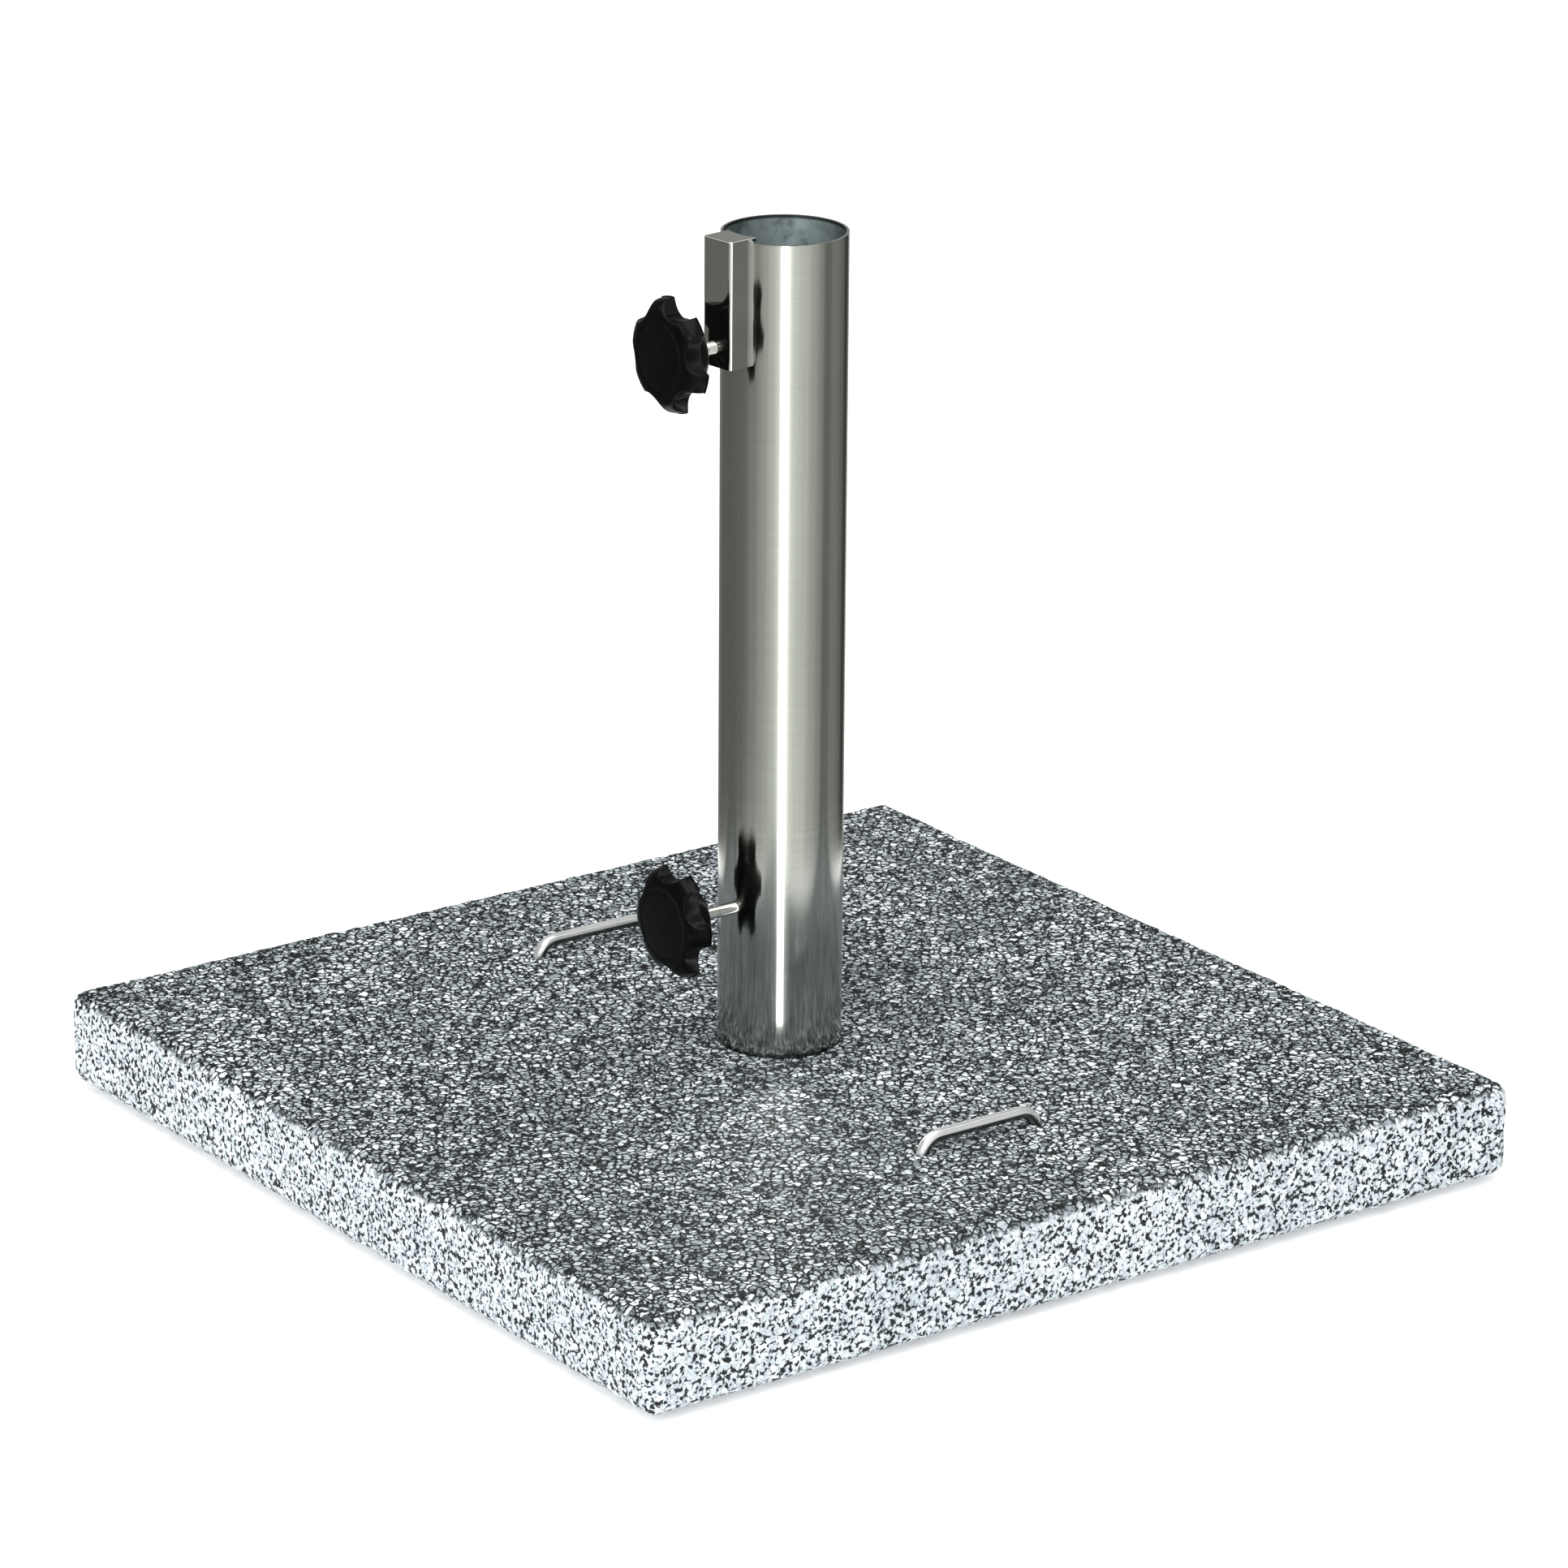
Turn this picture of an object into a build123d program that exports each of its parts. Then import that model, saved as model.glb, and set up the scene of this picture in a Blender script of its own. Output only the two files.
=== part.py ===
from build123d import *
import os
from math import cos, sin, radians, sqrt

os.makedirs("parts", exist_ok=True)

# Garden parasol base: a square granite slab on four rubber pads, a stainless
# standpipe bolted on from below, two clamping knobs and two pull-up handles.
# Origin: centre of the footprint on the ground plane. +Z up along the pipe.
# All dimensions in millimetres.

# ---- slab and pads ----
SLAB_SIDE = 500.0
SLAB_THICK = 47.0
SLAB_EDGE_R = 7.0
SLAB_CORNER_R = 7.0
PAD_THICK = 3.0
PAD_R = 20.0
PAD_PITCH = 390.0
SLAB_BOTTOM = PAD_THICK
SLAB_TOP = SLAB_BOTTOM + SLAB_THICK

# ---- standpipe ----
PIPE_R = 30.0
PIPE_WALL = 1.5
BORE_R = PIPE_R - PIPE_WALL
PIPE_HEIGHT = 400.0
PIPE_TOP = SLAB_TOP + PIPE_HEIGHT
FOOT_DISC_THICK = 12.0
FOOT_DISC_R = 28.8

# ---- centre bolt M12 and its washers ----
BOLT_R = 6.0
BOLT_AF = 19.0
BOLT_HEAD = 7.5
BOLT_HEAD_Z = 3.5
SPRING_WASHER_THICK = 2.5
ANCHOR_WASHER_R = 30.0
ANCHOR_WASHER_THICK = 5.0
RECESS_R = 35.0
CENTRE_HOLE_R = 6.5
SHOULDER_Z = BOLT_HEAD_Z + BOLT_HEAD
ANCHOR_Z = SHOULDER_Z + SPRING_WASHER_THICK
RECESS_TOP = ANCHOR_Z + ANCHOR_WASHER_THICK

# ---- clamp box turned 6.92 degrees round the pipe; both screws run straight out along -X ----
BOX_TURN = 186.92
DX, DY = cos(radians(BOX_TURN)), sin(radians(BOX_TURN))
SCREW_Y = -3.6

# ---- clamp box at the pipe's mouth ----
BOX_OUT = 42.8
BOX_W = 18.8
BOX_SHEET = 2.0
BOX_LOW = PIPE_TOP - 58.0
BOX_HIGH = PIPE_TOP + 1.0
CAP_THICK = 2.0
SLOT_HALF = 6.4
SLOT_LOW = PIPE_TOP - 57.0

# ---- clamping screws M6 ----
SCREW_R = 3.0
RUN = 0.05
UPPER_Z = PIPE_TOP - 48.9
LOWER_Z = SLAB_TOP + 73.1
NUT_AF = 10.0
NUT_THICK = 4.0
NUT_AT = 36.0

# ---- pressure jaw ----
JAW_FACE_R = 28.7
JAW_HALF = 6.1
JAW_PLATE_BACK = 31.2
JAW_CHEEK_BACK = 35.5
JAW_CHEEK = 1.1
JAW_LOW = SLOT_LOW + 1.5
JAW_HIGH = PIPE_TOP - 2.0
JAW_BOSS_R = 5.0
JAW_BOSS_BACK = 33.0
JAW_RECESS_R = 4.3
JAW_RECESS_BACK = 30.6
NECK_R = 2.0
NECK_END = 29.2
CLIP_GROOVE_R = 1.6
CLIP_AT = 29.8
CLIP_THICK = 0.6

# ---- star grips ----
GRIP_R = 27.6
GRIP_RIM = 1.5
GRIP_FRONT = 9.75
DOME_R = 9.45
COVER_R = 16.5
COVER_SEAT = 8.3
COVER_CROWN = 0.6
SCALLOP_R = 10.6
SCALLOP_AT = 31.1
HUB_R = 17.9
HUB_LEN = 7.65
HUB_TAPER = 14.65
STUD_HEAD_AF = 10.0
STUD_HEAD_AT = 3.0
STUD_HEAD_LEN = 4.0
UPPER_BACK = 64.2
LOWER_BACK = 61.6
UPPER_TURN = 42.0
LOWER_TURN = 0.0

# ---- lower screw's end ----
LOWER_END = 29.2
TIP_FACE = 28.6
TIP_R = 2.4
TIP_STEM_R = 1.2
TIP_STEM_LEN = 2.3

# ---- pull-up handles ----
ROD_R = 3.0
LEG_PITCH = 66.0
BEND_R = 9.5
BAR_Z = SLAB_TOP + 6.6
LEG_END = 4.6
HANDLE_Y = 158.5
LEG_HOLE_R = 3.9
LEG_BORE_R = 10.0
LEG_BORE_TOP = 38.0
WASHER_R = 9.0
WASHER_THICK = 1.6
WASHER_Z = 11.4
LOCKNUT_HEX = 4.6
LOCKNUT_COLLAR = 1.4


def box_plane(z):
    """Horizontal plane at height z whose X runs out through the middle of the clamp box."""
    return Plane(origin=(0, 0, z), x_dir=(DX, DY, 0), z_dir=(0, 0, 1))


def screw_plane(reach, z):
    """Plane across a screw axis at a distance from the pipe's axis, X up, normal outward."""
    return Plane(origin=(-reach, SCREW_Y, z), x_dir=(0, 0, 1), z_dir=(-1, 0, 0))


def axial_plane(z):
    """Upright plane through a screw axis, X outward, Y up."""
    return Plane(origin=(0, SCREW_Y, z), x_dir=(-1, 0, 0), z_dir=(0, 1, 0))


def finish(name, part):
    part.label = name
    export_step(part, f"parts/{name}.step")


# ---- granite slab: rounded edges, bolt hole with a washer recess, four leg holes ----
with BuildPart() as granite_slab:
    with BuildSketch(Plane.XY.offset(SLAB_BOTTOM)):
        RectangleRounded(SLAB_SIDE, SLAB_SIDE, SLAB_CORNER_R)
    extrude(amount=SLAB_THICK)
    fillet(granite_slab.faces().sort_by(Axis.Z)[-1].edges(), SLAB_EDGE_R - 0.5)
    fillet(granite_slab.faces().sort_by(Axis.Z)[0].edges(), SLAB_EDGE_R - 0.5)
    with BuildSketch(Plane.XY.offset(SLAB_BOTTOM)):
        Circle(RECESS_R)
    extrude(amount=RECESS_TOP - SLAB_BOTTOM, mode=Mode.SUBTRACT)
    with BuildSketch(Plane.XY):
        Circle(CENTRE_HOLE_R)
    extrude(amount=SLAB_TOP + 1, mode=Mode.SUBTRACT)
    with BuildSketch(Plane.XY):
        with GridLocations(LEG_PITCH, 2 * HANDLE_Y, 2, 2):
            Circle(LEG_HOLE_R)
    extrude(amount=SLAB_TOP + 1, mode=Mode.SUBTRACT)
    with BuildSketch(Plane.XY):
        with GridLocations(LEG_PITCH, 2 * HANDLE_Y, 2, 2):
            Circle(LEG_BORE_R)
    extrude(amount=LEG_BORE_TOP, mode=Mode.SUBTRACT)
finish("granite_slab", granite_slab.part)

# ---- four rubber pads under the slab's corners ----
with BuildPart() as floor_pads:
    with BuildSketch(Plane.XY):
        with GridLocations(PAD_PITCH, PAD_PITCH, 2, 2):
            Circle(PAD_R)
    extrude(amount=PAD_THICK)
    chamfer(floor_pads.edges().group_by(Axis.Z)[0], 0.6)
finish("floor_pads", floor_pads.part)

# ---- standpipe: slot for the jaw behind the clamp box, tapped hole for the lower screw ----
with BuildPart() as standpipe:
    with BuildSketch(Plane.XY.offset(SLAB_TOP)):
        Circle(PIPE_R)
        Circle(BORE_R, mode=Mode.SUBTRACT)
    extrude(amount=PIPE_HEIGHT)
    with BuildSketch(Plane.XY.offset(SLAB_TOP)):
        Circle(FOOT_DISC_R)
    extrude(amount=FOOT_DISC_THICK, mode=Mode.SUBTRACT)
    with BuildSketch(Plane.XY.offset(SLOT_LOW)):
        with Locations((-PIPE_R, SCREW_Y)):
            Rectangle(10, 2 * SLOT_HALF)
    extrude(amount=PIPE_TOP - SLOT_LOW + 1, mode=Mode.SUBTRACT)
    with BuildSketch(screw_plane(20, LOWER_Z)):
        Circle(SCREW_R + RUN)
    extrude(amount=20, mode=Mode.SUBTRACT)
finish("standpipe", standpipe.part)

# ---- tapped steel disc welded in the counterbored foot of the pipe ----
with BuildPart() as pipe_base_disc:
    with BuildSketch(Plane.XY.offset(SLAB_TOP)):
        Circle(FOOT_DISC_R)
        Circle(BOLT_R, mode=Mode.SUBTRACT)
    extrude(amount=FOOT_DISC_THICK)
finish("pipe_base_disc", pipe_base_disc.part)

# ---- M12 hexagon bolt from below ----
with BuildPart() as centre_bolt:
    with BuildSketch(Plane.XY.offset(BOLT_HEAD_Z)):
        RegularPolygon(BOLT_AF / 2, 6, major_radius=False)
    extrude(amount=BOLT_HEAD)
    with BuildSketch(Plane.XY.offset(BOLT_HEAD_Z)):
        Circle(BOLT_AF / 2 + 0.9)
    extrude(amount=BOLT_HEAD, taper=-14, mode=Mode.INTERSECT)
    with BuildSketch(Plane.XY.offset(SHOULDER_Z)):
        Circle(BOLT_R)
    extrude(amount=SLAB_TOP + FOOT_DISC_THICK - 1 - SHOULDER_Z)
    chamfer(centre_bolt.edges().filter_by(GeomType.CIRCLE).sort_by(Axis.Z)[-1], 1.0)
finish("centre_bolt", centre_bolt.part)

# ---- split spring washer ----
with BuildPart() as spring_washer:
    with BuildSketch(Plane.XY.offset(SHOULDER_Z)):
        Circle(BOLT_R + 4.2)
        Circle(BOLT_R + 0.2, mode=Mode.SUBTRACT)
        with Locations((BOLT_R + 2, 0)):
            Rectangle(6, 1.4, rotation=20, mode=Mode.SUBTRACT)
    extrude(amount=SPRING_WASHER_THICK)
finish("spring_washer", spring_washer.part)

# ---- large plate washer against the recess ----
with BuildPart() as anchor_washer:
    with BuildSketch(Plane.XY.offset(ANCHOR_Z)):
        Circle(ANCHOR_WASHER_R)
        Circle(CENTRE_HOLE_R, mode=Mode.SUBTRACT)
    extrude(amount=ANCHOR_WASHER_THICK)
    chamfer(anchor_washer.faces().sort_by(Axis.Z)[0].edges().sort_by(SortBy.RADIUS)[-1], 0.8)
finish("anchor_washer", anchor_washer.part)

# ---- clamp box: folded sheet channel, welded up the pipe's outside ----
with BuildPart() as clamp_box:
    with BuildSketch(box_plane(BOX_LOW)):
        with Locations(((24 + BOX_OUT) / 2, 0)):
            Rectangle(BOX_OUT - 24, BOX_W)
        with Locations(((20 + BOX_OUT - BOX_SHEET) / 2, 0)):
            Rectangle(BOX_OUT - BOX_SHEET - 20, BOX_W - 2 * BOX_SHEET, mode=Mode.SUBTRACT)
    extrude(amount=BOX_HIGH - BOX_LOW)
    far = clamp_box.edges().filter_by(Axis.Z).filter_by(
        lambda ed: (ed.center().X * DX + ed.center().Y * DY) > BOX_OUT - 0.5
    )
    fillet(far, 1.6)
    with BuildSketch(box_plane(BOX_LOW - 1)):
        Circle(PIPE_R)
    extrude(amount=BOX_HIGH - BOX_LOW + 2, mode=Mode.SUBTRACT)
    with BuildSketch(screw_plane(BOX_OUT - 6, UPPER_Z)):
        Circle(SCREW_R + 0.4)
    extrude(amount=10, mode=Mode.SUBTRACT)
finish("clamp_box", clamp_box.part)

# ---- cap plate of the box, trimmed to the bore ----
with BuildPart() as clamp_box_cap:
    with BuildSketch(box_plane(BOX_HIGH)):
        with Locations(((20 + BOX_OUT) / 2, 0)):
            Rectangle(BOX_OUT - 20, BOX_W)
        Circle(BORE_R, mode=Mode.SUBTRACT)
    extrude(amount=CAP_THICK)
    fillet(
        clamp_box_cap.edges().filter_by(Axis.Z).filter_by(
            lambda ed: (ed.center().X * DX + ed.center().Y * DY) > BOX_OUT - 0.5
        ),
        1.6,
    )
    fillet(clamp_box_cap.faces().sort_by(Axis.Z)[-1].edges(), 0.5)
finish("clamp_box_cap", clamp_box_cap.part)

# ---- M6 nut welded inside the box's outer wall ----
with BuildPart() as clamp_nut:
    with BuildSketch(screw_plane(NUT_AT, UPPER_Z)):
        RegularPolygon(NUT_AF / 2, 6, major_radius=False)
        Circle(SCREW_R + RUN, mode=Mode.SUBTRACT)
    extrude(amount=NUT_THICK)
finish("clamp_nut", clamp_nut.part)

# ---- pressure jaw: folded channel with a hollow face, guided by the pipe's slot ----
with BuildPart() as clamp_jaw:
    with BuildSketch(Plane.XY.offset(JAW_LOW)):
        with Locations((-(24 + JAW_CHEEK_BACK) / 2, SCREW_Y)):
            Rectangle(JAW_CHEEK_BACK - 24, 2 * JAW_HALF)
        with Locations((-(JAW_PLATE_BACK + JAW_CHEEK_BACK + 2) / 2, SCREW_Y)):
            Rectangle(
                JAW_CHEEK_BACK + 2 - JAW_PLATE_BACK, 2 * (JAW_HALF - JAW_CHEEK), mode=Mode.SUBTRACT
            )
        Circle(JAW_FACE_R, mode=Mode.SUBTRACT)
    extrude(amount=JAW_HIGH - JAW_LOW)
    with BuildSketch(screw_plane(JAW_PLATE_BACK - 0.5, UPPER_Z)):
        Circle(JAW_BOSS_R)
    extrude(amount=JAW_BOSS_BACK - JAW_PLATE_BACK + 0.5)
    with BuildSketch(screw_plane(20, UPPER_Z)):
        Circle(NECK_R + RUN)
    extrude(amount=20, mode=Mode.SUBTRACT)
    with BuildSketch(screw_plane(20, UPPER_Z)):
        Circle(JAW_RECESS_R)
    extrude(amount=JAW_RECESS_BACK - 20, mode=Mode.SUBTRACT)
finish("clamp_jaw", clamp_jaw.part)

# ---- retaining ring on the upper screw's neck ----
with BuildPart() as jaw_retaining_clip:
    with BuildSketch(screw_plane(CLIP_AT, UPPER_Z)):
        Circle(3.9)
        Circle(CLIP_GROOVE_R, mode=Mode.SUBTRACT)
        with Locations((3, 0)):
            Rectangle(4, 2.6, mode=Mode.SUBTRACT)
    extrude(amount=CLIP_THICK)
finish("jaw_retaining_clip", jaw_retaining_clip.part)


def star_grip(back, z, turn):
    """Six-lobed grip: domed front with a seat for the cover disc, tapered hub behind."""
    with BuildPart() as grip:
        with BuildSketch(screw_plane(back, z)):
            Circle(GRIP_R)
            with PolarLocations(SCALLOP_AT, 6, start_angle=turn):
                Circle(SCALLOP_R, mode=Mode.SUBTRACT)
            fillet(grip_corners(), 1.1)
        extrude(amount=GRIP_FRONT)
        with BuildSketch(axial_plane(z)):
            with BuildLine():
                dome = ThreePointArc(
                    (back + GRIP_RIM, GRIP_R),
                    (
                        back + GRIP_FRONT - DOME_R * (1 - sin(radians(41))),
                        GRIP_R - DOME_R * (1 - cos(radians(41))) + 0.05,
                    ),
                    (back + GRIP_FRONT, GRIP_R - DOME_R + 0.1),
                )
                Line(dome @ 0, (back, GRIP_R))
                Line((back, GRIP_R), (back, 0))
                Line((back, 0), (back + GRIP_FRONT, 0))
                Line((back + GRIP_FRONT, 0), dome @ 1)
            make_face()
        revolve(
            axis=Axis((0, SCREW_Y, z), (-1, 0, 0)), revolution_arc=360, mode=Mode.INTERSECT
        )
        with BuildSketch(screw_plane(back, z)):
            Circle(HUB_R)
        extrude(amount=-HUB_LEN, taper=HUB_TAPER)
        with BuildSketch(screw_plane(back + COVER_SEAT, z)):
            Circle(COVER_R)
        extrude(amount=5, mode=Mode.SUBTRACT)
        with BuildSketch(screw_plane(back - HUB_LEN, z)):
            Circle(SCREW_R)
        extrude(amount=HUB_LEN + STUD_HEAD_AT, mode=Mode.SUBTRACT)
        with BuildSketch(screw_plane(back + STUD_HEAD_AT, z)):
            RegularPolygon(STUD_HEAD_AF / 2, 6, major_radius=False)
        extrude(amount=STUD_HEAD_LEN, mode=Mode.SUBTRACT)
    return grip.part


def grip_corners():
    """The lobes' corner points in the current star sketch."""
    return [
        v
        for v in BuildSketch._get_context().vertices()
        if abs(sqrt(v.X**2 + v.Y**2) - GRIP_R) < 0.05
    ]


def grip_cover(back, z):
    """Pressed-in front disc with a slight spherical crown."""
    edge = COVER_R - 0.3
    ball = (edge**2 + COVER_CROWN**2) / (2 * COVER_CROWN)
    ball_at = back + GRIP_FRONT + COVER_CROWN - ball
    with BuildPart() as cover:
        with BuildSketch(axial_plane(z)):
            with BuildLine():
                Line((back + COVER_SEAT, 0), (back + COVER_SEAT, COVER_R))
                Line((back + COVER_SEAT, COVER_R), (back + GRIP_FRONT - 0.3, COVER_R))
                Line((back + GRIP_FRONT - 0.3, COVER_R), (back + GRIP_FRONT, COVER_R - 0.3))
                ThreePointArc(
                    (back + GRIP_FRONT, edge),
                    (ball_at + sqrt(ball**2 - edge**2 / 4), edge / 2),
                    (back + GRIP_FRONT + COVER_CROWN, 0),
                )
                Line((back + GRIP_FRONT + COVER_CROWN, 0), (back + COVER_SEAT, 0))
            make_face()
        revolve(axis=Axis((0, SCREW_Y, z), (-1, 0, 0)), revolution_arc=360)
    return cover.part


finish("upper_knob_grip", star_grip(UPPER_BACK, UPPER_Z, UPPER_TURN))
finish("upper_knob_cover", grip_cover(UPPER_BACK, UPPER_Z))
finish("lower_knob_grip", star_grip(LOWER_BACK, LOWER_Z, LOWER_TURN))
finish("lower_knob_cover", grip_cover(LOWER_BACK, LOWER_Z))

# ---- upper screw: stud with a hexagon head in the grip, a shoulder and a neck in the jaw ----
with BuildPart() as upper_clamp_screw:
    with BuildSketch(screw_plane(JAW_BOSS_BACK + 0.2, UPPER_Z)):
        Circle(SCREW_R)
    extrude(amount=UPPER_BACK + STUD_HEAD_AT - JAW_BOSS_BACK - 0.2)
    with BuildSketch(screw_plane(UPPER_BACK + STUD_HEAD_AT, UPPER_Z)):
        RegularPolygon(STUD_HEAD_AF / 2, 6, major_radius=False)
    extrude(amount=STUD_HEAD_LEN)
    with BuildSketch(screw_plane(JAW_BOSS_BACK + 0.2, UPPER_Z)):
        Circle(NECK_R)
    extrude(amount=-(JAW_BOSS_BACK + 0.2 - NECK_END))
    with BuildSketch(screw_plane(CLIP_AT, UPPER_Z)):
        Circle(NECK_R + 1)
        Circle(CLIP_GROOVE_R, mode=Mode.SUBTRACT)
    extrude(amount=CLIP_THICK, mode=Mode.SUBTRACT)
finish("upper_clamp_screw", upper_clamp_screw.part)

# ---- lower screw: stud with a drilled end for the thrust tip ----
with BuildPart() as lower_clamp_screw:
    with BuildSketch(screw_plane(LOWER_END, LOWER_Z)):
        Circle(SCREW_R)
    extrude(amount=LOWER_BACK + STUD_HEAD_AT - LOWER_END)
    with BuildSketch(screw_plane(LOWER_BACK + STUD_HEAD_AT, LOWER_Z)):
        RegularPolygon(STUD_HEAD_AF / 2, 6, major_radius=False)
    extrude(amount=STUD_HEAD_LEN)
    with BuildSketch(screw_plane(LOWER_END - 1, LOWER_Z)):
        Circle(TIP_STEM_R + RUN)
    extrude(amount=TIP_STEM_LEN + 1.2, mode=Mode.SUBTRACT)
finish("lower_clamp_screw", lower_clamp_screw.part)

# ---- plastic thrust tip that doesn't turn with the lower screw ----
with BuildPart() as lower_screw_tip:
    with BuildSketch(screw_plane(TIP_FACE, LOWER_Z)):
        Circle(TIP_R)
    extrude(amount=LOWER_END - 0.1 - TIP_FACE)
    with BuildSketch(screw_plane(TIP_FACE, LOWER_Z)):
        Circle(TIP_STEM_R)
    extrude(amount=LOWER_END - TIP_FACE + TIP_STEM_LEN)
finish("lower_screw_tip", lower_screw_tip.part)

# ---- handles: bent round rod, with a washer and a lock nut on each leg ----
for name, side in (("front", -1), ("rear", 1)):
    y = side * HANDLE_Y
    half = LEG_PITCH / 2
    with BuildPart() as handle:
        with BuildLine() as route:
            FilletPolyline(
                (-half, y, LEG_END), (-half, y, BAR_Z), (half, y, BAR_Z), (half, y, LEG_END),
                radius=BEND_R,
            )
        with BuildSketch(Plane(origin=(-half, y, LEG_END), z_dir=(0, 0, 1))):
            Circle(ROD_R)
        sweep(path=route.wires()[0])
        chamfer(handle.edges().group_by(Axis.Z)[0], 0.6)
    finish(f"{name}_handle", handle.part)

    with BuildPart() as washers:
        with BuildSketch(Plane(origin=(0, y, WASHER_Z), z_dir=(0, 0, 1))):
            with GridLocations(LEG_PITCH, 0, 2, 1):
                Circle(WASHER_R)
                Circle(ROD_R + 0.2, mode=Mode.SUBTRACT)
        extrude(amount=WASHER_THICK)
    finish(f"{name}_handle_washers", washers.part)

    with BuildPart() as nuts:
        with BuildSketch(Plane(origin=(0, y, WASHER_Z - LOCKNUT_HEX), z_dir=(0, 0, 1))):
            with GridLocations(LEG_PITCH, 0, 2, 1):
                RegularPolygon(5.0, 6, major_radius=False)
        extrude(amount=LOCKNUT_HEX)
        with BuildSketch(
            Plane(origin=(0, y, WASHER_Z - LOCKNUT_HEX - LOCKNUT_COLLAR), z_dir=(0, 0, 1))
        ):
            with GridLocations(LEG_PITCH, 0, 2, 1):
                Circle(4.4)
        extrude(amount=LOCKNUT_COLLAR)
        with BuildSketch(Plane(origin=(0, y, 0), z_dir=(0, 0, 1))):
            with GridLocations(LEG_PITCH, 0, 2, 1):
                Circle(ROD_R)
        extrude(amount=20, mode=Mode.SUBTRACT)
    finish(f"{name}_handle_nuts", nuts.part)
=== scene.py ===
import math
import bpy
import bmesh
from mathutils import Vector, Matrix, noise


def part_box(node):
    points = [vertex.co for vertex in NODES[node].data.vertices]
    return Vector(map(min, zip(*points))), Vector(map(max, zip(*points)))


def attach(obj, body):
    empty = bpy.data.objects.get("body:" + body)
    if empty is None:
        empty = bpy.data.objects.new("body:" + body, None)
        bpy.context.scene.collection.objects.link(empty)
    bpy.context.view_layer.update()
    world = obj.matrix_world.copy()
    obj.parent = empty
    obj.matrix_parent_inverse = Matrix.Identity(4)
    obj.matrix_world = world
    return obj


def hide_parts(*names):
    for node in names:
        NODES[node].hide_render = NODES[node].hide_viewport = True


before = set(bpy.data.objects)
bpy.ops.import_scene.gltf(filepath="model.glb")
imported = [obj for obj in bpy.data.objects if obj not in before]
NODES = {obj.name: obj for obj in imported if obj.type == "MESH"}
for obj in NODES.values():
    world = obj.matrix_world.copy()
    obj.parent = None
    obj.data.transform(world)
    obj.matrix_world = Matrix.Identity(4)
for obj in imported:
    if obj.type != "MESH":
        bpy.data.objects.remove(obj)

SCENE = bpy.context.scene
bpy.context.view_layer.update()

# ------------------------------------------------------------------ helpers


def link(obj):
    SCENE.collection.objects.link(obj)
    return obj


def mesh_object(name, verts, faces, smooth=True):
    me = bpy.data.meshes.new(name)
    me.from_pydata([tuple(v) for v in verts], [], faces)
    me.validate()
    if smooth:
        me.polygons.foreach_set("use_smooth", [True] * len(me.polygons))
    me.update()
    return link(bpy.data.objects.new(name, me))


def apply_modifiers(obj):
    """Bake every modifier of obj into its mesh."""
    dg = bpy.context.evaluated_depsgraph_get()
    done = bpy.data.meshes.new_from_object(obj.evaluated_get(dg), depsgraph=dg)
    obj.modifiers.clear()
    obj.data = done
    return obj


def sharp_by_angle(obj, degrees):
    """Smooth shading with edges over an angle kept sharp."""
    bm = bmesh.new()
    bm.from_mesh(obj.data)
    limit = math.radians(degrees)
    for f in bm.faces:
        f.smooth = True
    for e in bm.edges:
        if len(e.link_faces) == 2:
            e.smooth = e.calc_face_angle(0.0) < limit
    bm.to_mesh(obj.data)
    bm.free()


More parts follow.
